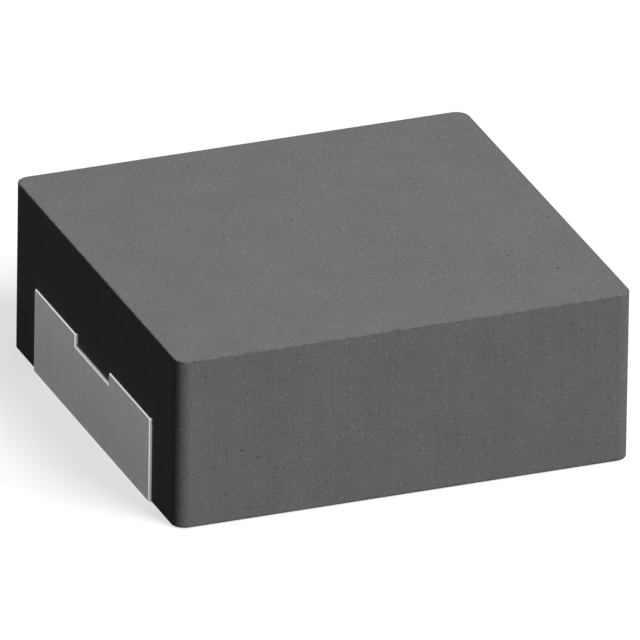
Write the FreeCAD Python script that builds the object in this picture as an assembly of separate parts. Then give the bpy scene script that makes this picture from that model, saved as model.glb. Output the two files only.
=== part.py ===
# Shielded surface-mount inductor: a coil of flat wire pressed into a block of iron powder,
# with two folded terminals. Millimetres. The origin is at the bottom centre of the whole part,
# +Z is up and +X runs from one terminal to the other.
import FreeCAD
import Part

import math
import os

from FreeCAD import Vector

# Pressed block
BLOCK_LENGTH = 10.57
BLOCK_WIDTH = 10.0
BLOCK_HEIGHT = 3.98
BLOCK_CORNER_RADIUS = 0.31
BLOCK_EDGE_RADIUS = 0.03
STANDOFF = 0.02  # from the solder pads' faces up to the block's underside

# Terminals, folded from a strip of sheet
SHEET = 0.15
STRIP_WIDTH = 7.0
STRIP_PROUD = 0.065  # how far a terminal's face stands out of the block's end
STRIP_TOP = 2.02  # upper face of the strip where it leaves the block
STRIP_INSIDE = 1.24  # length of strip held inside the block
PAD_LENGTH = 2.3  # solder pad under the block
BEND_OUTSIDE_RADIUS = 0.06  # the folds are struck sharp
BEND_INSIDE_RADIUS = 0.02
STRIP_TO_COIL = 0.25  # kept free between the prongs and the coil's outside
NOTCH_WIDTH = 2.06
NOTCH_DEPTH = 0.30
EAR_LENGTH = 0.84  # the ear that the wire is welded to
EAR_REACH = 0.95  # from the middle of the sheet
EAR_FROM_END = 0.38  # from the block's end face
EAR_CORNER_RADIUS = 0.12

# Flat wire, wound in two layers from the middle outwards
WIRE_THICKNESS = 0.36
WIRE_WIDTH = 1.1
TURN_GAP = 0.03
LAYER_GAP = 0.04
LOWER_HALF_TURNS = 9
UPPER_HALF_TURNS = 8
TAIL_FROM_END = 0.33  # from the block's end face to the wire's cut end
INSET_ANGLE = 45  # over which the innermost turns draw in to the crossover
CROSSOVER_STEPS = 6

# Room in the block's pockets
STRIP_CLEARANCE = 0.01
WIRE_CLEARANCE = 0.02

# Places that follow from the sizes
BLOCK_END = BLOCK_LENGTH / 2
STRIP_FACE = BLOCK_END + STRIP_PROUD
STRIP_EDGE = STRIP_WIDTH / 2
STRIP_MIDDLE = STRIP_TOP - SHEET / 2
EAR_ROOT = 2 * SHEET + BEND_INSIDE_RADIUS  # width of the strip that the ear's fold takes up
EAR_NEAR = -BLOCK_END + EAR_FROM_END  # the ear's two sides, on the terminal at -X
EAR_FAR = EAR_NEAR + EAR_LENGTH
PITCH = WIRE_THICKNESS + TURN_GAP
LOWER_LAYER = STRIP_MIDDLE - LAYER_GAP / 2 - WIRE_WIDTH
UPPER_LAYER = STRIP_MIDDLE + LAYER_GAP / 2
TAIL_LINE = STRIP_EDGE + WIRE_THICKNESS / 2
TAIL_END = BLOCK_END - TAIL_FROM_END
SPIRAL_CENTRES = (Vector(0, PITCH / 4), Vector(0, -PITCH / 4))  # its half circles take turns
OUTER_RADIUS = TAIL_LINE - PITCH / 4
COIL_RADIUS = OUTER_RADIUS + WIRE_THICKNESS / 2
INNER_RADIUS = OUTER_RADIUS - (LOWER_HALF_TURNS - 1) * PITCH / 2
CROSSOVER_RADIUS = INNER_RADIUS - PITCH

X = Vector(1, 0, 0)
Y = Vector(0, 1, 0)
Z = Vector(0, 0, 1)
SAME_PLACE = 1e-6  # points nearer than this are one


def box(x, y, z):
    """Box between two limits along each axis."""
    corner = Vector(min(x), min(y), min(z))
    return Part.makeBox(abs(x[1] - x[0]), abs(y[1] - y[0]), abs(z[1] - z[0]), corner)


def mirrored(shape):
    """The shape seen in the plane midway between the terminals."""
    return shape.mirror(Vector(0, 0, 0), X)


def joined(shapes):
    """One solid from pieces that share faces."""
    return shapes[0].multiFuse(shapes[1:]).removeSplitter().Solids[0]


def round_edges(shape, radius, wanted):
    """Rounds the edges that wanted(edge) picks."""
    return shape.makeFillet(radius, [edge for edge in shape.Edges if wanted(edge)])


def rounded_path(corners, radius):
    """Edges along straight runs at right angles, with an arc at each corner between them."""
    to_arc_middle = 1 - math.cos(math.radians(45))  # as a share of the radius along both runs
    edges = []
    start = corners[0]
    for before, corner, after in zip(corners, corners[1:], corners[2:]):
        back = (before - corner).normalize() * radius
        ahead = (after - corner).normalize() * radius
        middle = corner + (back + ahead) * to_arc_middle
        edges.append(Part.makeLine(start, corner + back))
        edges.append(Part.Arc(corner + back, middle, corner + ahead).toShape())
        start = corner + ahead
    edges.append(Part.makeLine(start, corners[-1]))
    return edges


def folded_sheet(corners, across, grow=0):
    """Sheet with square folds, drawn by the outside corners of its folds. The path turns left
    about the direction across, along which the sheet has its width. A positive grow makes it
    larger all round, as the pocket that holds it."""
    side = Vector(across).normalize()
    runs = [(after - before).normalize() for before, after in zip(corners, corners[1:])]
    inward = [side.cross(run) for run in runs]
    turns = [inward[0]] + [sum(pair, Vector()) for pair in zip(inward, inward[1:])] + [inward[-1]]
    ends = [-runs[0]] + [Vector()] * (len(corners) - 2) + [runs[-1]]
    outer = [corner + (end - turn) * grow for corner, turn, end in zip(corners, turns, ends)]
    inner = [corner + turn * (SHEET + 2 * grow) for corner, turn in zip(outer, turns)]
    edges = rounded_path(outer, BEND_OUTSIDE_RADIUS) + rounded_path(inner, BEND_INSIDE_RADIUS)
    edges.append(Part.makeLine(outer[0], inner[0]))
    edges.append(Part.makeLine(outer[-1], inner[-1]))
    face = Part.Face(Part.Wire(Part.__sortEdges__(edges)))
    return face.translated(-side * grow).extrude(across + side * 2 * grow)


def ear(up, grow=0):
    """Ear folded up or down from the far edge of the strip, beside the wire's tail."""
    way = 1 if up else -1
    start = EAR_NEAR if up else EAR_FAR
    root = STRIP_EDGE - EAR_ROOT
    fold = STRIP_MIDDLE - way * SHEET / 2
    tip = STRIP_MIDDLE + way * EAR_REACH
    corners = [Vector(start, root, fold), Vector(start, STRIP_EDGE, fold), Vector(start, STRIP_EDGE, tip)]
    blank = folded_sheet(corners, X * way * EAR_LENGTH, grow)
    free_end = tip + way * grow

    def at_tip(edge):
        """Picks the two short edges at the corners of the free end."""
        first, last = (vertex.Point for vertex in edge.Vertexes)
        return max(abs(first.z - free_end), abs(last.z - free_end), abs(first.x - last.x)) < SAME_PLACE

    return round_edges(blank, EAR_CORNER_RADIUS, at_tip)


def terminal(ear_up, grow=0):
    """The terminal at -X: two prongs inside the block, a face down its end and a solder pad.
    The notch in the face is the foot of the slot that parts the prongs."""
    inside = -BLOCK_END + STRIP_INSIDE
    corners = [
        Vector(inside, STRIP_EDGE, STRIP_TOP),
        Vector(-STRIP_FACE, STRIP_EDGE, STRIP_TOP),
        Vector(-STRIP_FACE, STRIP_EDGE, 0),
        Vector(-STRIP_FACE + PAD_LENGTH, STRIP_EDGE, 0),
    ]
    strip = folded_sheet(corners, Y * -STRIP_WIDTH, grow)
    half_notch = NOTCH_WIDTH / 2 - grow
    notch_floor = STRIP_TOP - NOTCH_DEPTH + grow
    under = STRIP_TOP - 2 * SHEET  # the cuts run from clear under the prongs
    over = STRIP_TOP + SHEET  # to clear over them
    slot = box((-STRIP_FACE - SHEET, inside + SHEET), (-half_notch, half_notch), (notch_floor, over))
    ear_root = box(
        (EAR_NEAR + grow, EAR_FAR - grow),
        (STRIP_EDGE - EAR_ROOT + grow, STRIP_EDGE + SHEET),
        (under, over),
    )
    coil_side = Part.makeCylinder(
        COIL_RADIUS + STRIP_TO_COIL - grow, over - under, SPIRAL_CENTRES[0] + Z * under, Z
    )
    return joined([strip.cut([slot, ear_root, coil_side]), ear(ear_up, grow)])


def on_circle(centre, radius, degrees, height=0):
    angle = math.radians(degrees)
    return centre + Vector(radius * math.cos(angle), radius * math.sin(angle), height)


def half_circle(centre, radius, start):
    """Level half circle, clockwise from an angle in degrees."""
    points = [on_circle(centre, radius, start - turned) for turned in (0, 90, 180)]
    return Part.Arc(*points).toShape()


def eased(share):
    """Smooth step from 0 to 1."""
    return share * share * (3 - 2 * share)


def crossover_edge(start, swept, radii, heights):
    """Edge of the wire, clockwise round the middle post, that eases between two radii and
    between two heights and leaves both ends level and square to the radius."""
    points = []
    for step in range(CROSSOVER_STEPS + 1):
        share = step / CROSSOVER_STEPS
        radius = radii[0] + (radii[1] - radii[0]) * eased(share)
        height = heights[0] + (heights[1] - heights[0]) * eased(share)
        points.append(on_circle(SPIRAL_CENTRES[0], radius, start - swept * share, height))
    ways = [on_circle(Vector(), 1, angle - 90) for angle in (start, start - swept)]
    curve = Part.BSplineCurve()
    curve.interpolate(Points=points, InitialTangent=ways[0], FinalTangent=ways[1])
    return curve.toShape()


def spiral_layer(half_turns, bottom):
    """One layer of wire: a straight tail at -X, half turns clockwise and inwards, and a last
    stretch that draws in beside the middle post, clear of the turns."""
    sides = []
    for offset in (WIRE_THICKNESS / 2, -WIRE_THICKNESS / 2):
        tail = TAIL_LINE + offset
        edges = [Part.makeLine(Vector(-TAIL_END, tail), Vector(0, tail))]
        for turn in range(half_turns):
            radius = OUTER_RADIUS - turn * PITCH / 2 + offset
            edges.append(half_circle(SPIRAL_CENTRES[turn % 2], radius, 90 - 180 * turn))
        radii = (INNER_RADIUS + offset, CROSSOVER_RADIUS + offset)
        edges.append(crossover_edge(90 - 180 * half_turns, INSET_ANGLE, radii, (0, 0)))
        sides.append(edges)
    outside, inside = sides
    cut_end = Part.makeLine(outside[0].firstVertex().Point, inside[0].firstVertex().Point)
    inner_end = Part.makeLine(outside[-1].lastVertex().Point, inside[-1].lastVertex().Point)
    outline = Part.Wire(Part.__sortEdges__(outside + inside + [cut_end, inner_end]))
    return Part.Face(outline).extrude(Z * WIRE_WIDTH).translated(Z * bottom)


def climb():
    """The stretch of wire that rises from the lower layer to the upper one."""
    edges = []
    for offset in (WIRE_THICKNESS / 2, -WIRE_THICKNESS / 2):
        radius = CROSSOVER_RADIUS + offset
        edges.append(crossover_edge(
            -90 - INSET_ANGLE, 180 - 2 * INSET_ANGLE, (radius, radius), (LOWER_LAYER, UPPER_LAYER)
        ))
    return Part.makeRuledSurface(*edges).extrude(Z * WIRE_WIDTH)


def coil():
    """The whole wire, from one cut end to the other."""
    lower = spiral_layer(LOWER_HALF_TURNS, LOWER_LAYER)
    upper = mirrored(spiral_layer(UPPER_HALF_TURNS, UPPER_LAYER))
    return joined([lower, climb(), upper])


def coil_pocket():
    """The room that the powder leaves for the wire: a ring round the middle post, and two
    channels for the tails."""
    room = WIRE_CLEARANCE
    floor = LOWER_LAYER - room
    height = UPPER_LAYER + WIRE_WIDTH + room - floor
    axis = SPIRAL_CENTRES[0] + Z * floor
    outside = Part.makeCylinder(COIL_RADIUS + room, height, axis, Z)
    post = Part.makeCylinder(CROSSOVER_RADIUS - WIRE_THICKNESS / 2 - room, height, axis, Z)
    sides = (STRIP_EDGE - room, STRIP_EDGE + WIRE_THICKNESS + room)
    lower = box((-TAIL_END - room, 0), sides, (floor, LOWER_LAYER + WIRE_WIDTH + room))
    upper = box((0, TAIL_END + room), sides, (UPPER_LAYER - room, floor + height))
    return outside.cut(post).multiFuse([lower, upper])


def moulded_body():
    """The pressed block, with its pockets for the coil and the terminals."""
    block = box(
        (-BLOCK_END, BLOCK_END), (-BLOCK_WIDTH / 2, BLOCK_WIDTH / 2), (STANDOFF, STANDOFF + BLOCK_HEIGHT)
    )
    block = round_edges(block, BLOCK_CORNER_RADIUS, lambda edge: edge.BoundBox.ZLength > BLOCK_HEIGHT / 2)
    block = round_edges(block, BLOCK_EDGE_RADIUS, lambda edge: edge.BoundBox.ZLength < BLOCK_HEIGHT / 2)
    pockets = [
        coil_pocket(),
        terminal(False, STRIP_CLEARANCE),
        mirrored(terminal(True, STRIP_CLEARANCE)),
    ]
    return block.cut(pockets).removeSplitter().Solids[0]


def main():
    os.makedirs("parts", exist_ok=True)
    nodes = {
        "moulded_body": moulded_body(),
        "coil": coil(),
        "terminal_left": terminal(False),
        "terminal_right": mirrored(terminal(True)),
    }
    for name, shape in nodes.items():
        shape.exportStep(f"parts/{name}.step")


main()
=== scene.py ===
# Looks of a shielded surface-mount inductor: a block of pressed iron powder with a coil of flat
# wire inside and two folded, tinned terminals. Lengths are metres unless a name ends in _mm.
import math

import bmesh
import bpy
from bpy.props import FloatProperty, FloatVectorProperty, IntProperty, PointerProperty
from mathutils import Matrix, Vector


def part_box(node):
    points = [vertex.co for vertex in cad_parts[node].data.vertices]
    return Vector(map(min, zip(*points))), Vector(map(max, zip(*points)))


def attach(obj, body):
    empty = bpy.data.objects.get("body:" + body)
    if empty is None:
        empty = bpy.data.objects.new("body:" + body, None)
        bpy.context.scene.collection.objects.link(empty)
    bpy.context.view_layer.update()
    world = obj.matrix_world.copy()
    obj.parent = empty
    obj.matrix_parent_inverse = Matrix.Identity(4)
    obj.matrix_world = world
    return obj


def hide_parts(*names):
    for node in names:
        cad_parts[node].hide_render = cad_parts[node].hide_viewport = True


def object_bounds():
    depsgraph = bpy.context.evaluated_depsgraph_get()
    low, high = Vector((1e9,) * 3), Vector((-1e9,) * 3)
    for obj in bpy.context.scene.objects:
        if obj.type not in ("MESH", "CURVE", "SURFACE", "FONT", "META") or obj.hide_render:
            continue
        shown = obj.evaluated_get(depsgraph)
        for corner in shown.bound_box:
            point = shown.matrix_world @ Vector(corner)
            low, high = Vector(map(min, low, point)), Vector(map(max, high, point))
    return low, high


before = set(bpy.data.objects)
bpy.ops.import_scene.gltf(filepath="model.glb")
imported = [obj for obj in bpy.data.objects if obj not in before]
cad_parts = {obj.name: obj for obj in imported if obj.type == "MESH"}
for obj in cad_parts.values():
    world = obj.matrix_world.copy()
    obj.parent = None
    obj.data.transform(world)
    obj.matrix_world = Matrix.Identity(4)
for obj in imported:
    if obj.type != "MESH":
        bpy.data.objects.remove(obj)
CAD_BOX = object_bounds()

bl_info = {
    "name": "Moulded inductor finish",
    "version": (1, 0, 0),
    "blender": (4, 5, 0),
    "location": "3D View > Sidebar > Inductor",
    "description": "Dresses the pressed block, the coil and the terminals of a moulded inductor",
    "category": "Object",
}

MM = 0.001
BODY = "root"
BLOCK = "moulded_body"
COIL = "coil"
TERMINALS = ("terminal_left", "terminal_right")
SHEARED = "sheared"  # attribute that is 1 on the sheet's cut edges
FIRST_COLOUR, SECOND_COLOUR, MIXED_COLOUR = 6, 7, 2  # a Mix node's sockets for colours
BLOCK_LOW, BLOCK_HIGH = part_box(BLOCK)
COIL_LOW, COIL_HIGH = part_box(COIL)
MIDDLE = (CAD_BOX[0] + CAD_BOX[1]) / 2


def linear(code):
    """Linear colour of an sRGB hex value."""
    parts = [int(code[i:i + 2], 16) / 255 for i in (0, 2, 4)]
    return tuple(c / 12.92 if c <= 0.04045 else ((c + 0.055) / 1.055) ** 2.4 for c in parts)


WHITE = linear("FFFFFF")


def opaque(colour):
    """Colour with an alpha of 1."""
    return tuple(colour) + (1,)


def node(tree, kind, inputs=None, **settings):
    """Adds a node with its settings, sets or links its inputs and returns its outputs."""
    made = tree.nodes.new(kind)
    for name, value in settings.items():
        setattr(made, name, value)
    for socket, value in (inputs or {}).items():
        if isinstance(value, bpy.types.NodeSocket):
            tree.links.new(value, made.inputs[socket])
        else:
            made.inputs[socket].default_value = value
    return made.outputs


def new_material(name):
    """Empty node material and its tree."""
    material = bpy.data.materials.new(name)
    material.use_nodes = True
    material.node_tree.nodes.clear()
    return material, material.node_tree


def lumps(tree, place, size_mm, detail=2.0, roughness=0.5):
    """Soft lumps about size_mm across, from 0 to 1."""
    cloud = node(tree, "ShaderNodeTexNoise", {
        "Vector": place, "Scale": 1 / (size_mm * MM), "Detail": detail, "Roughness": roughness,
    })["Fac"]
    # Nearly all of a noise texture lies in the middle of its range
    return node(tree, "ShaderNodeMapRange", {
        "Value": cloud, "From Min": 0.3, "From Max": 0.7,
    }, interpolation_type="SMOOTHSTEP")["Result"]


def streaks(tree, place, along_mm, detail=2.0, roughness=0.5):
    """Lumps drawn out to these sizes along X, Y and Z."""
    scale = tuple(1 / size for size in along_mm)
    drawn_out = node(tree, "ShaderNodeMapping", {"Vector": place, "Scale": scale})["Vector"]
    return lumps(tree, drawn_out, size_mm=1.0, detail=detail, roughness=roughness)


def spots(tree, place, size_mm, share, radius):
    """Round spots in cells about size_mm across. A share of the cells has one, and its radius
    is given in cells."""
    cells = node(tree, "ShaderNodeTexVoronoi", {"Vector": place, "Scale": 1 / (size_mm * MM)})
    chance = node(tree, "ShaderNodeSeparateColor", {"Color": cells["Color"]})["Red"]
    chosen = node(tree, "ShaderNodeMath", {0: chance, 1: share}, operation="LESS_THAN")[0]
    shape = node(tree, "ShaderNodeMapRange", {
        "Value": cells["Distance"], "From Min": radius, "From Max": radius / 2,
    }, interpolation_type="SMOOTHSTEP")["Result"]
    return node(tree, "ShaderNodeMath", {0: shape, 1: chosen}, operation="MULTIPLY")[0]


def tinted(tree, colour, patterns):
    """Colour made darker or lighter by patterns, each given with its factors at 0 and at 1."""
    for pattern, factor_at_0, factor_at_1 in patterns:
        factor = node(tree, "ShaderNodeMapRange", {
            "Value": pattern, "To Min": factor_at_0, "To Max": factor_at_1,
        })["Result"]
        colour = node(tree, "ShaderNodeVectorMath", {0: colour, "Scale": factor}, operation="SCALE")[0]
    return colour


def finish_surface(tree, relief, strength, heights, inputs):
    """Ends a material with a bump and a Principled shader. Each pattern in the bump is given
    with its height, where a height of 1 stands out by the relief."""
    total = 0.0
    for pattern, height in heights:
        total = node(tree, "ShaderNodeMath", {
            0: pattern, 1: height, 2: total,
        }, operation="MULTIPLY_ADD")[0]
    bump = node(tree, "ShaderNodeBump", {
        "Strength": strength, "Distance": relief, "Height": total,
    })
    shader = node(tree, "ShaderNodeBsdfPrincipled", {"Normal": bump["Normal"], **inputs})
    node(tree, "ShaderNodeOutputMaterial", {"Surface": shader["BSDF"]})


def die_lines(tree, place, facing):
    """Upright lines on the block's walls, where it slid out of the die."""
    up = node(tree, "ShaderNodeSeparateXYZ", {"Vector": facing})["Z"]
    slope = node(tree, "ShaderNodeMath", {0: up}, operation="ABSOLUTE")[0]
    wall = node(tree, "ShaderNodeMapRange", {
        "Value": slope, "From Min": 0.6, "From Max": 0.3,
    }, interpolation_type="SMOOTHSTEP")["Result"]
    lines = streaks(tree, place, along_mm=(0.07, 0.07, 2.6), detail=1.0)
    return node(tree, "ShaderNodeMath", {0: wall, 1: lines}, operation="MULTIPLY")[0]


def distance_to_edge(tree, place, corner_radius):
    """Distance over the block's surface to its top or bottom edge. The block is a box with
    rounded upright corners."""
    half = (BLOCK_HIGH - BLOCK_LOW) / 2
    centre = (BLOCK_HIGH + BLOCK_LOW) / 2
    core = half - Vector((corner_radius, corner_radius, 0))
    moved = node(tree, "ShaderNodeVectorMath", {0: place, 1: centre}, operation="SUBTRACT")[0]
    folded = node(tree, "ShaderNodeVectorMath", {0: moved}, operation="ABSOLUTE")[0]
    # How far a place lies past the core, the box inside the corner radii. It is below 0 inside
    past = node(tree, "ShaderNodeVectorMath", {0: folded, 1: core}, operation="SUBTRACT")[0]
    outside = node(tree, "ShaderNodeVectorMath", {0: past, 1: (0, 0, 0)}, operation="MAXIMUM")[0]
    round_part = node(tree, "ShaderNodeVectorMath", {0: outside}, operation="LENGTH")["Value"]
    past_x, past_y, past_z = node(tree, "ShaderNodeSeparateXYZ", {"Vector": past})
    further = node(tree, "ShaderNodeMath", {0: past_x, 1: past_y}, operation="MAXIMUM")[0]
    flat_part = node(tree, "ShaderNodeMath", {0: further, 1: 0.0}, operation="MINIMUM")[0]
    sideways = node(tree, "ShaderNodeMath", {0: round_part, 1: flat_part}, operation="ADD")[0]
    reached = node(tree, "ShaderNodeMath", {0: sideways, 1: past_z}, operation="ADD")[0]
    return node(tree, "ShaderNodeMath", {0: corner_radius, 1: reached}, operation="SUBTRACT")[0]


def crumbled_edges(tree, place, corner_radius):
    """Crumbs that have gone from the block's top and bottom edges."""
    near_edge = node(tree, "ShaderNodeMapRange", {
        "Value": distance_to_edge(tree, place, corner_radius),
        "From Min": 0.07 * MM,
        "From Max": 0.015 * MM,
    }, interpolation_type="SMOOTHSTEP")["Result"]
    crumbs = lumps(tree, place, size_mm=0.10, detail=2.0, roughness=0.6)
    gone = node(tree, "ShaderNodeMapRange", {
        "Value": crumbs, "From Min": 0.35, "From Max": 0.75,
    }, interpolation_type="SMOOTHSTEP")["Result"]
    return node(tree, "ShaderNodeMath", {0: near_edge, 1: gone}, operation="MULTIPLY")[0]


def pressed_iron_powder(settings):
    """Iron powder bound with epoxy, pressed in a polished die and cured. It gives the eye a
    matt, even grey with a fine salt-and-pepper grain, a few open pores, faint upright lines on
    the walls where the block slid out of the die, and edges that have crumbled a little."""
    material, tree = new_material("pressed_iron_powder")
    given = node(tree, "ShaderNodeTexCoord")
    place = given["Object"]
    # Grains are 0.02 to 0.05 mm wide and are drawn at the coarse end of that, so that they show
    grain = lumps(tree, place, settings.grain / MM, detail=2.0, roughness=0.7)
    mottle = lumps(tree, place, size_mm=1.1, detail=3.0, roughness=0.55)
    bright_grain = spots(tree, place, size_mm=0.075, share=0.09, radius=0.42)
    dark_grain = spots(tree, place, size_mm=0.09, share=0.10, radius=0.45)
    pore = spots(tree, place, size_mm=0.38, share=0.10, radius=0.13)
    drawn = die_lines(tree, place, given["Normal"])
    crumbled = crumbled_edges(tree, place, settings.corner_radius)
    colour = tinted(tree, settings.colour, [
        (grain, 0.86, 1.14),
        (mottle, 0.97, 1.03),
        (bright_grain, 1.0, 1.35),
        (dark_grain, 1.0, 0.8),
        (pore, 1.0, 0.6),
        (drawn, 1.0, 0.95),
        (crumbled, 1.0, 0.68),
    ])
    # A bright grain is a bare flat of iron, smoother than the resin round it
    roughness = node(tree, "ShaderNodeMapRange", {
        "Value": bright_grain, "To Min": 0.9, "To Max": 0.6,
    })["Result"]
    heights = [(grain, 0.25), (drawn, 0.12), (pore, -1.0), (crumbled, -0.8)]
    finish_surface(tree, settings.relief, strength=0.5, heights=heights, inputs={
        "Base Color": colour,
        "Roughness": roughness,
        "Specular IOR Level": 0.05,
    })
    return material


def rubbed_and_highlit_folds(tree):
    """1 on folds and rounded edges, which face away from all three axes, and 0 on flat faces."""
    # Where this is 1 the tin is painted paler, partly as burnished wear, partly as a painted highlight
    facing = node(tree, "ShaderNodeNewGeometry")["True Normal"]
    along_axes = node(tree, "ShaderNodeVectorMath", {0: facing}, operation="ABSOLUTE")[0]
    x, y, z = node(tree, "ShaderNodeSeparateXYZ", {"Vector": along_axes})
    larger = node(tree, "ShaderNodeMath", {0: x, 1: y}, operation="MAXIMUM")[0]
    largest = node(tree, "ShaderNodeMath", {0: larger, 1: z}, operation="MAXIMUM")[0]
    return node(tree, "ShaderNodeMapRange", {
        "Value": largest, "From Min": 0.92, "From Max": 0.8,
    }, interpolation_type="SMOOTHSTEP")["Result"]


def matt_tin(settings):
    """Copper strip with matt electroplated tin. Its tiny crystals scatter more light than they
    mirror, so it gives the eye a soft, pale satin grey, with fine rolling lines that run round
    the folds. The folds and the sheared edges are painted paler: partly tin that the tools
    burnished or the shears left bare and rough, partly a painted highlight on these thin edges."""
    material, tree = new_material("matt_tin_plate")
    place = node(tree, "ShaderNodeTexCoord")["Object"]
    # The rolling lines are a few hundredths of a millimetre apart, across the strip's width
    lines = streaks(tree, place, along_mm=(2.8, 0.045, 2.8), detail=2.0, roughness=0.6)
    cloud = lumps(tree, place, size_mm=0.9, detail=3.0, roughness=0.55)
    # Crystals of matt tin are under 0.01 mm wide and are drawn coarser, so that they show
    crystal = lumps(tree, place, size_mm=0.04, detail=1.0)
    rubbed_and_highlit = rubbed_and_highlit_folds(tree)
    sheared = node(tree, "ShaderNodeAttribute", attribute_name=SHEARED)["Fac"]
    # Folds and cut edges get a paler tin: partly wear and bare metal, partly a painted highlight
    pale = node(tree, "ShaderNodeMath", {0: rubbed_and_highlit, 1: sheared}, operation="MAXIMUM")[0]
    plating = tinted(tree, settings.colour, [(lines, 0.93, 1.07), (cloud, 0.94, 1.06)])
    colour = node(tree, "ShaderNodeMix", {
        "Factor": pale, FIRST_COLOUR: plating, SECOND_COLOUR: opaque(settings.colour_rubbed_and_highlight),
    }, data_type="RGBA")[MIXED_COLOUR]
    metallic = node(tree, "ShaderNodeMapRange", {
        "Value": pale, "To Min": 0.35, "To Max": 1.0,
    })["Result"]
    satin = node(tree, "ShaderNodeMapRange", {
        "Value": cloud, "To Min": 0.28, "To Max": 0.38,
    })["Result"]
    # What the shears tore stays rough, up to the rounding, which the tools have burnished again
    torn_roughness = 0.55
    off_the_folds = node(tree, "ShaderNodeMath", {0: 1.0, 1: rubbed_and_highlit}, operation="SUBTRACT")[0]
    torn = node(tree, "ShaderNodeMath", {0: sheared, 1: off_the_folds}, operation="MULTIPLY")[0]
    roughness = node(tree, "ShaderNodeMath", {
        0: torn, 1: torn_roughness, 2: satin,
    }, operation="MULTIPLY_ADD")[0]
    heights = [(lines, 0.6), (crystal, 0.4)]
    finish_surface(tree, settings.relief, strength=0.2, heights=heights, inputs={
        "Base Color": colour,
        "Metallic": metallic,
        "Roughness": roughness,
        "Specular IOR Level": 0.2,
    })
    return material


def enamelled_copper(settings):
    """Drawn flat copper wire under a clear amber enamel. It gives the eye a warm red-brown metal
    under a gloss, with fine draw lines along the wire and bare, paler copper at the tails."""
    material, tree = new_material("enamelled_copper")
    place = node(tree, "ShaderNodeTexCoord")["Object"]
    # The draw lines are a few hundredths of a millimetre apart, up the wire's width
    lines = streaks(tree, place, along_mm=(2.0, 2.0, 0.05), detail=2.0, roughness=0.6)
    cloud = lumps(tree, place, size_mm=0.8, detail=3.0, roughness=0.55)
    across = node(tree, "ShaderNodeSeparateXYZ", {"Vector": place})["X"]
    reach = node(tree, "ShaderNodeMath", {0: across}, operation="ABSOLUTE")[0]
    wholly_bare = 0.8 * settings.stripped
    bare = node(tree, "ShaderNodeMapRange", {
        "Value": reach,
        "From Min": COIL_HIGH.x - settings.stripped,
        "From Max": COIL_HIGH.x - wholly_bare,
    }, interpolation_type="SMOOTHSTEP")["Result"]
    colour = node(tree, "ShaderNodeMix", {
        "Factor": bare,
        FIRST_COLOUR: opaque(settings.colour),
        SECOND_COLOUR: opaque(settings.colour_bare),
    }, data_type="RGBA")[MIXED_COLOUR]
    roughness = node(tree, "ShaderNodeMapRange", {
        "Value": bare, "To Min": 0.24, "To Max": 0.42,
    })["Result"]
    finish_surface(tree, settings.relief, strength=0.2, heights=[(lines, 1.0)], inputs={
        "Base Color": tinted(tree, colour, [(lines, 0.9, 1.1), (cloud, 0.92, 1.08)]),
        "Metallic": 1.0,
        "Roughness": roughness,
        "Coat Weight": 0.6,
        "Coat Roughness": 0.12,
        "Coat IOR": 1.55,
    })
    return material


def shown_rays(tree):
    """1 for rays from the camera and in metal or glass, and 0 for light that falls on things."""
    ray = node(tree, "ShaderNodeLightPath")
    mirrored = node(tree, "ShaderNodeMath", {
        0: ray["Is Glossy Ray"], 1: ray["Is Transmission Ray"],
    }, operation="MAXIMUM")[0]
    return node(tree, "ShaderNodeMath", {
        0: ray["Is Camera Ray"], 1: mirrored,
    }, operation="MAXIMUM")[0]


def studio_floor(settings):
    """Seamless pale floor, matt. It looks white with a soft shadow, and is dark to the light
    that bounces off it, so that the block's shaded sides stay as deep as the photograph's."""
    material, tree = new_material("studio_floor")
    colour = opaque(settings.floor_colour)
    lamps_share = opaque(settings.shadow_depth * c for c in settings.floor_colour)
    lit = node(tree, "ShaderNodeBsdfDiffuse", {"Color": lamps_share})[0]
    glow = node(tree, "ShaderNodeEmission", {"Color": colour, "Strength": settings.floor_glow})[0]
    pale = node(tree, "ShaderNodeAddShader", {0: lit, 1: glow})[0]
    dark = node(tree, "ShaderNodeBsdfDiffuse", {"Color": opaque(settings.bounce_colour)})[0]
    floor = node(tree, "ShaderNodeMixShader", {0: shown_rays(tree), 1: dark, 2: pale})[0]
    node(tree, "ShaderNodeOutputMaterial", {"Surface": floor})
    return material


def studio_sky(settings):
    """Even sky that lights the part weakly and looks white."""
    world = bpy.data.worlds.new("studio_sky")
    world.use_nodes = True
    tree = world.node_tree
    tree.nodes.clear()
    weak = opaque(settings.sky_light * c for c in WHITE)
    colour = node(tree, "ShaderNodeMix", {
        "Factor": shown_rays(tree), FIRST_COLOUR: weak, SECOND_COLOUR: opaque(WHITE),
    }, data_type="RGBA")[MIXED_COLOUR]
    sky = node(tree, "ShaderNodeBackground", {"Color": colour})["Background"]
    node(tree, "ShaderNodeOutputWorld", {"Surface": sky})
    return world


def welded_copy(cad_node, name):
    """A CAD node's faces as one closed skin, smooth over its folds and sharp at its edges."""
    same_place = 1e-7
    coplanar = math.radians(0.2)
    within_a_fold = math.radians(32)
    skin = bmesh.new()
    skin.from_mesh(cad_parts[cad_node].data)
    bmesh.ops.remove_doubles(skin, verts=skin.verts, dist=same_place)
    bmesh.ops.dissolve_limit(skin, angle_limit=coplanar, verts=skin.verts, edges=skin.edges)
    mesh = bpy.data.meshes.new(name)
    skin.to_mesh(mesh)
    skin.free()
    # Shading then follows from the sharp edges alone
    for attribute in [a for a in mesh.attributes if a.name in ("custom_normal", "sharp_face")]:
        mesh.attributes.remove(attribute)
    mesh.set_sharp_from_angle(angle=within_a_fold)
    return mesh


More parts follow.
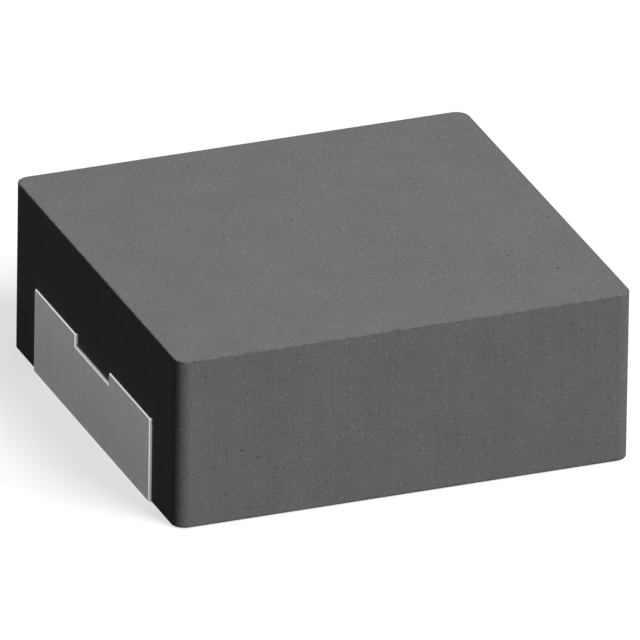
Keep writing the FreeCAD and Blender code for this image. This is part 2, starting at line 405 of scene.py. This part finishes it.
def mark_sheared_edges(mesh, sheet):
    """Marks the cut edges of a folded strip: the flat faces that are only as wide as the sheet
    is thick. The facets of a fold are narrow too, but lie aslant."""
    marks = mesh.attributes.new(SHEARED, "FLOAT", "FACE")
    widest = 1.1 * sheet
    square = 0.999  # least part of the facing that lies along one axis
    for face, mark in zip(mesh.polygons, marks.data):
        ends = [[mesh.vertices[i].co for i in pair] for pair in face.edge_keys]
        outline = sum((b - a).length for a, b in ends)
        # Twice the area over the outline is just under the width of a long face
        narrow = 2 * face.area / outline < widest
        mark.value = float(narrow and max(map(abs, face.normal)) > square)


def mark_rounded_edges(mesh, sheet):
    """Gives the strip's sharp edges at the block's end and foot the weight that the Bevel
    modifier reads. Those that lie deeper in the block stay sharp."""
    weights = mesh.attributes.new("bevel_weight_edge", "FLOAT", "EDGE")
    for edge, weight in zip(mesh.edges, weights.data):
        start, end = (mesh.vertices[i].co for i in edge.vertices)
        middle = (start + end) / 2
        at_the_end = abs(middle.x) > BLOCK_HIGH.x - sheet
        at_the_foot = middle.z < BLOCK_LOW.z + sheet / 2
        weight.value = float(edge.use_edge_sharp and (at_the_end or at_the_foot))


def new_piece(mesh, material, slot, *cad_nodes):
    """Puts a finished mesh in the scene in place of CAD nodes."""
    mesh.materials.clear()
    mesh.materials.append(material)
    piece = bpy.data.objects.new(mesh.name, mesh)
    bpy.context.scene.collection.objects.link(piece)
    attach(piece, BODY)
    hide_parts(*cad_nodes)
    return piece


class BlockSettings(bpy.types.PropertyGroup):
    """Finish of the pressed block."""
    colour: FloatVectorProperty(
        name="Grey", description="Colour of the powder", subtype="COLOR", size=3,
        default=linear("747474"), min=0, max=1)
    grain: FloatProperty(
        name="Grain", description="Width of the powder's grains", unit="LENGTH", default=0.05 * MM)
    relief: FloatProperty(
        name="Relief", description="Depth of the pores and the crumbled edges", unit="LENGTH",
        default=0.008 * MM)
    corner_radius: FloatProperty(
        name="Corner radius", description="Radius of the block's upright corners", unit="LENGTH",
        default=0.31 * MM)


class TerminalSettings(bpy.types.PropertyGroup):
    """Finish of the folded terminals."""
    colour: FloatVectorProperty(
        name="Tin", description="Colour of the matt plating", subtype="COLOR", size=3,
        default=linear("9F9F9E"), min=0, max=1)
    # Paler tin on folds and cut edges: partly burnished and bare metal, partly a painted highlight
    colour_rubbed_and_highlight: FloatVectorProperty(
        name="Rubbed tin", description="Colour of the plating where tools have rubbed it bright",
        subtype="COLOR", size=3, default=linear("E4E4E2"), min=0, max=1)
    relief: FloatProperty(
        name="Relief", description="Depth of the rolling lines", unit="LENGTH", default=0.003 * MM)
    sheet: FloatProperty(
        name="Sheet", description="Thickness of the strip", unit="LENGTH", default=0.15 * MM)
    edge_radius: FloatProperty(
        name="Edge radius", description="Rounding of the sheet's cut edges", unit="LENGTH",
        default=0.03 * MM)


class CoilSettings(bpy.types.PropertyGroup):
    """Winding and finish of the coil, which lies inside the block."""
    wire_width: FloatProperty(
        name="Wire width", description="Height of the flat wire, which stands on edge",
        unit="LENGTH", default=1.1 * MM)
    wire_thickness: FloatProperty(
        name="Wire thickness", description="Thickness of the flat wire", unit="LENGTH",
        default=0.36 * MM)
    turn_gap: FloatProperty(
        name="Turn gap", description="Room between turns", unit="LENGTH", default=0.03 * MM)
    edge_radius: FloatProperty(
        name="Edge radius", description="Rounding of the drawn wire's edges", unit="LENGTH",
        default=0.07 * MM)
    lower_half_turns: IntProperty(
        name="Lower half turns", description="Half turns in the lower layer", default=9)
    upper_half_turns: IntProperty(
        name="Upper half turns", description="Half turns in the upper layer", default=8)
    inset_angle: FloatProperty(
        name="Inset angle", description="Turn over which the wire draws in to the middle post",
        subtype="ANGLE", default=math.radians(45))
    stripped: FloatProperty(
        name="Stripped length", description="Bare length at each tail", unit="LENGTH",
        default=1.2 * MM)
    relief: FloatProperty(
        name="Relief", description="Depth of the draw lines", unit="LENGTH", default=0.003 * MM)
    colour: FloatVectorProperty(
        name="Enamelled copper", description="Colour of copper seen through the enamel",
        subtype="COLOR", size=3, default=linear("B5663F"), min=0, max=1)
    colour_bare: FloatVectorProperty(
        name="Bare copper", description="Colour of the stripped tails", subtype="COLOR", size=3,
        default=linear("E3A184"), min=0, max=1)


class StudioSettings(bpy.types.PropertyGroup):
    """Floor, lamps and camera."""
    floor_colour: FloatVectorProperty(
        name="Floor", description="Colour of the floor", subtype="COLOR", size=3,
        default=WHITE, min=0, max=1)
    bounce_colour: FloatVectorProperty(
        name="Bounce", description="Colour of the light that the floor throws back up",
        subtype="COLOR", size=3, default=linear("303030"), min=0, max=1)
    floor_glow: FloatProperty(
        name="Floor glow", description="Share of the floor's white that is there without any lamp",
        subtype="FACTOR", default=0.68, min=0, max=1)
    shadow_depth: FloatProperty(
        name="Shadow depth", description="Share of the floor's white that the lamps add and a "
        "shadow takes away", subtype="FACTOR", default=0.38, min=0, max=1)
    key_light: FloatProperty(
        name="Key light", description="Light on a surface that faces the key lamp, where 1 shows "
        "a colour as it is written", default=1.17)
    fill_light: FloatProperty(
        name="Fill light", description="Light from behind, in the same measure", default=0.2)
    sky_light: FloatProperty(
        name="Sky light", description="Even light from all round, in the same measure", default=0.06)
    azimuth: FloatProperty(
        name="Azimuth", description="Camera's turn about the part", subtype="ANGLE",
        default=math.radians(-21.61))
    elevation: FloatProperty(
        name="Elevation", description="Camera's height above the horizon", subtype="ANGLE",
        default=math.radians(25.34))
    roll: FloatProperty(
        name="Roll", description="Camera's turn about its line of sight", subtype="ANGLE",
        default=math.radians(0.87))
    # Views from other sides are cut off 100 radii away, and a longer lens would stand beyond that
    lens_mm: FloatProperty(
        name="Lens", description="Focal length, very long because the view is nearly parallel",
        subtype="DISTANCE_CAMERA", default=1700)
    frame_width: FloatProperty(
        name="Frame width", description="Width of the picture at the part's middle", unit="LENGTH",
        default=13.93 * MM)
    aim_right: FloatProperty(
        name="Aim right", description="Place of the picture's middle, to the right of the part's",
        unit="LENGTH", default=0)
    aim_up: FloatProperty(
        name="Aim up", description="Place of the picture's middle, above the part's foot as it is seen",
        unit="LENGTH", default=1.78 * MM)


def wire_path(settings):
    """Middle line of the wire from its left cut end to its right one. Each layer is a tail and
    half circles that draw inwards about two centres in turn, and the wire climbs from one
    layer to the other beside the middle post."""
    pitch = settings.wire_thickness + settings.turn_gap
    lower = COIL_LOW.z + settings.wire_width / 2
    upper = COIL_HIGH.z - settings.wire_width / 2
    tail_line = COIL_HIGH.y - settings.wire_thickness / 2
    outer_radius = tail_line - pitch / 4
    inner_radius = outer_radius - (settings.lower_half_turns - 1) * pitch / 2
    post_radius = inner_radius - pitch
    centres = (Vector((0, pitch / 4, 0)), Vector((0, -pitch / 4, 0)))
    quarter = math.pi / 2
    steps = 36  # in each arc

    def eased(share):
        """Share that starts and ends gently."""
        return share * share * (3 - 2 * share)

    def arc(centre, radii, heights, start, swept):
        """Points clockwise round a centre, easing between two radii and two heights."""
        points = []
        for i in range(1, steps + 1):
            share = i / steps
            radius = radii[0] + (radii[1] - radii[0]) * eased(share)
            height = heights[0] + (heights[1] - heights[0]) * eased(share)
            angle = start - swept * share
            out = Vector((radius * math.cos(angle), radius * math.sin(angle), height))
            points.append(centre + out)
        return points

    def layer(half_turns, height):
        """The layer whose tail is at -X, from the tail inwards."""
        points = [Vector((-COIL_HIGH.x, tail_line, height)), Vector((0, tail_line, height))]
        for turn in range(half_turns):
            radius = outer_radius - turn * pitch / 2
            start = quarter - math.pi * turn
            points += arc(centres[turn % 2], (radius, radius), (height, height), start, math.pi)
        start = quarter - math.pi * half_turns
        inset = (inner_radius, post_radius)
        return points + arc(centres[0], inset, (height, height), start, settings.inset_angle)

    climb_start = -quarter - settings.inset_angle
    climb_turn = math.pi - 2 * settings.inset_angle
    climb = arc(centres[0], (post_radius, post_radius), (lower, upper), climb_start, climb_turn)
    mirrored_layer = [Vector((-p.x, p.y, p.z)) for p in layer(settings.upper_half_turns, upper)]
    return layer(settings.lower_half_turns, lower) + climb + mirrored_layer[-2::-1]


def path_object(points):
    """The wire's middle line as a poly curve."""
    curve = bpy.data.curves.new("wire_path", "CURVE")
    curve.dimensions = "3D"
    spline = curve.splines.new("POLY")
    spline.points.add(len(points) - 1)
    for point, place in zip(spline.points, points):
        point.co = (*place, 1)
    path = bpy.data.objects.new("wire_path", curve)
    bpy.context.scene.collection.objects.link(path)
    return path


def flat_wire_tree(material):
    """Geometry Nodes tree that sweeps a flat wire, standing on edge, along a path."""
    tree = bpy.data.node_groups.new("flat_wire", "GeometryNodeTree")
    sockets = tree.interface
    sockets.new_socket("Path", in_out="INPUT", socket_type="NodeSocketGeometry")
    for name in ("Wire width", "Wire thickness", "Edge radius"):
        sockets.new_socket(name, in_out="INPUT", socket_type="NodeSocketFloat").subtype = "DISTANCE"
    sockets.new_socket("Wire", in_out="OUTPUT", socket_type="NodeSocketGeometry")
    given = node(tree, "NodeGroupInput")
    upright = node(tree, "GeometryNodeSetCurveNormal", {"Curve": given["Path"]}, mode="Z_UP")["Curve"]
    section = node(tree, "GeometryNodeCurvePrimitiveQuadrilateral", {
        "Width": given["Wire thickness"], "Height": given["Wire width"],
    })["Curve"]
    rounded = node(tree, "GeometryNodeFilletCurve", {
        "Curve": section, "Count": 3, "Radius": given["Edge radius"],
    }, mode="POLY")["Curve"]
    swept = node(tree, "GeometryNodeCurveToMesh", {
        "Curve": upright, "Profile Curve": rounded, "Fill Caps": True,
    })["Mesh"]
    smooth = node(tree, "GeometryNodeSetShadeSmooth", {"Geometry": swept})["Geometry"]
    real = node(tree, "GeometryNodeRealizeInstances", {"Geometry": smooth})["Geometry"]
    dressed = node(tree, "GeometryNodeSetMaterial", {
        "Geometry": real, "Material": material,
    })["Geometry"]
    node(tree, "NodeGroupOutput", {"Wire": dressed})
    return tree


def sweep(path, tree, values):
    """Runs a Geometry Nodes tree on an object and returns the result as a plain mesh."""
    modifier = path.modifiers.new("sweep", "NODES")
    modifier.node_group = tree
    for item in tree.interface.items_tree:
        if item.in_out == "INPUT" and item.name in values:
            modifier[item.identifier] = values[item.name]
    seen = path.evaluated_get(bpy.context.evaluated_depsgraph_get())
    mesh = bpy.data.meshes.new_from_object(seen)
    path.modifiers.remove(modifier)
    bpy.data.objects.remove(path)
    return mesh


def add_floor(settings):
    """Wide plain floor, a hair under the solder pads' faces so that the two don't coincide."""
    half = 1.0
    level = -0.002 * MM
    mesh = bpy.data.meshes.new("floor")
    corners = [(-half, -half, level), (half, -half, level), (half, half, level), (-half, half, level)]
    mesh.from_pydata(corners, [], [(0, 1, 2, 3)])
    mesh.materials.append(studio_floor(settings))
    floor = bpy.data.objects.new("floor", mesh)
    bpy.context.scene.collection.objects.link(floor)


def add_lamp(name, direction, distance, size, light):
    """Soft square lamp that gives a surface facing it this much light."""
    lamp = bpy.data.lights.new(name, "AREA")
    lamp.shape = "SQUARE"
    lamp.size = size
    # With a light of 1, a white surface that faces the lamp at this distance shows as white
    lamp.energy = light * (math.pi * distance) ** 2
    obj = bpy.data.objects.new(name, lamp)
    away = Vector(direction).normalized()
    obj.location = MIDDLE + away * distance
    obj.rotation_mode = "QUATERNION"
    obj.rotation_quaternion = away.to_track_quat("Z", "Y")
    bpy.context.scene.collection.objects.link(obj)


def add_camera(settings):
    """Long-lens camera at the photograph's angle, aimed a little off the part's middle as the
    photograph is."""
    azimuth, elevation, roll = settings.azimuth, settings.elevation, settings.roll
    back = Vector((
        math.sin(azimuth) * math.cos(elevation),
        -math.cos(azimuth) * math.cos(elevation),
        math.sin(elevation),
    ))
    level = Vector((math.cos(azimuth), math.sin(azimuth), 0))
    rise = back.cross(level)
    right = math.cos(roll) * level + math.sin(roll) * rise
    up = math.cos(roll) * rise - math.sin(roll) * level
    data = bpy.data.cameras.new("camera")
    data.lens = settings.lens_mm
    distance = settings.frame_width * data.lens / data.sensor_width
    data.clip_start = distance / 100
    data.clip_end = distance * 4
    camera = bpy.data.objects.new("camera", data)
    aim = right * settings.aim_right + up * settings.aim_up
    place = aim + back * (MIDDLE.dot(back) + distance)
    camera.matrix_world = Matrix.Translation(place) @ Matrix((right, up, back)).transposed().to_4x4()
    bpy.context.scene.collection.objects.link(camera)
    bpy.context.scene.camera = camera


class INDUCTOR_OT_block(bpy.types.Operator):
    """Gives the pressed block its finish"""
    bl_idname = "inductor.block"
    bl_label = "Block"

    def execute(self, context):
        material = pressed_iron_powder(context.scene.inductor_block)
        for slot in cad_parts[BLOCK].material_slots:
            slot.link = "OBJECT"
            slot.material = material
        return {"FINISHED"}


class INDUCTOR_OT_terminals(bpy.types.Operator):
    """Rounds the cut edges of the two terminals and gives them their plating"""
    bl_idname = "inductor.terminals"
    bl_label = "Terminals"

    def execute(self, context):
        settings = context.scene.inductor_terminals
        material = matt_tin(settings)
        for cad_node in TERMINALS:
            mesh = welded_copy(cad_node, "plated_" + cad_node)
            mark_sheared_edges(mesh, settings.sheet)
            mark_rounded_edges(mesh, settings.sheet)
            piece = new_piece(mesh, material, "tinned_copper", cad_node)
            bevel = piece.modifiers.new("cut_edges", "BEVEL")
            bevel.width = settings.edge_radius
            bevel.segments = 4
            bevel.limit_method = "WEIGHT"
            bevel.use_clamp_overlap = False
            bevel.harden_normals = True
        return {"FINISHED"}


class INDUCTOR_OT_coil(bpy.types.Operator):
    """Winds the coil and gives it its enamel"""
    bl_idname = "inductor.coil"
    bl_label = "Coil"

    def execute(self, context):
        settings = context.scene.inductor_coil
        material = enamelled_copper(settings)
        mesh = sweep(path_object(wire_path(settings)), flat_wire_tree(material), {
            "Wire width": settings.wire_width,
            "Wire thickness": settings.wire_thickness,
            "Edge radius": settings.edge_radius,
        })
        mesh.name = "wound_coil"
        # Only the rims of the two cut ends turn by more than this
        mesh.set_sharp_from_angle(angle=math.radians(50))
        new_piece(mesh, material, "enamelled_copper", COIL)
        return {"FINISHED"}


class INDUCTOR_OT_studio(bpy.types.Operator):
    """Adds the floor, the lamps, the sky and the camera"""
    bl_idname = "inductor.studio"
    bl_label = "Studio"

    def execute(self, context):
        settings = context.scene.inductor_studio
        add_floor(settings)
        add_lamp(
            "key_lamp", direction=(0.33, -0.58, 0.745), distance=0.6, size=0.26,
            light=settings.key_light)
        add_lamp(
            "fill_lamp", direction=(0.25, 0.9, 0.3), distance=0.6, size=0.4,
            light=settings.fill_light)
        context.scene.world = studio_sky(settings)
        add_camera(settings)
        context.scene.view_settings.view_transform = "Standard"
        return {"FINISHED"}


class INDUCTOR_PT_panel(bpy.types.Panel):
    """Lists the pieces and the studio"""
    bl_label = "Inductor"
    bl_idname = "INDUCTOR_PT_panel"
    bl_space_type = "VIEW_3D"
    bl_region_type = "UI"
    bl_category = "Inductor"

    def draw(self, context):
        for operator, group in STEPS:
            box = self.layout.box()
            box.operator(operator.bl_idname)
            for name in GROUPS[group].__annotations__:
                box.prop(getattr(context.scene, group), name)


GROUPS = {
    "inductor_block": BlockSettings,
    "inductor_terminals": TerminalSettings,
    "inductor_coil": CoilSettings,
    "inductor_studio": StudioSettings,
}
STEPS = (
    (INDUCTOR_OT_block, "inductor_block"),
    (INDUCTOR_OT_terminals, "inductor_terminals"),
    (INDUCTOR_OT_coil, "inductor_coil"),
    (INDUCTOR_OT_studio, "inductor_studio"),
)
CLASSES = (*GROUPS.values(), *(operator for operator, _ in STEPS), INDUCTOR_PT_panel)


def register():
    for made in CLASSES:
        bpy.utils.register_class(made)
    for name, group in GROUPS.items():
        setattr(bpy.types.Scene, name, PointerProperty(type=group))


def unregister():
    for name in GROUPS:
        delattr(bpy.types.Scene, name)
    for made in reversed(CLASSES):
        bpy.utils.unregister_class(made)


def main():
    """Runs each step."""
    register()
    bpy.ops.inductor.block()
    bpy.ops.inductor.terminals()
    bpy.ops.inductor.coil()
    bpy.ops.inductor.studio()


if __name__ == "__main__":
    main()
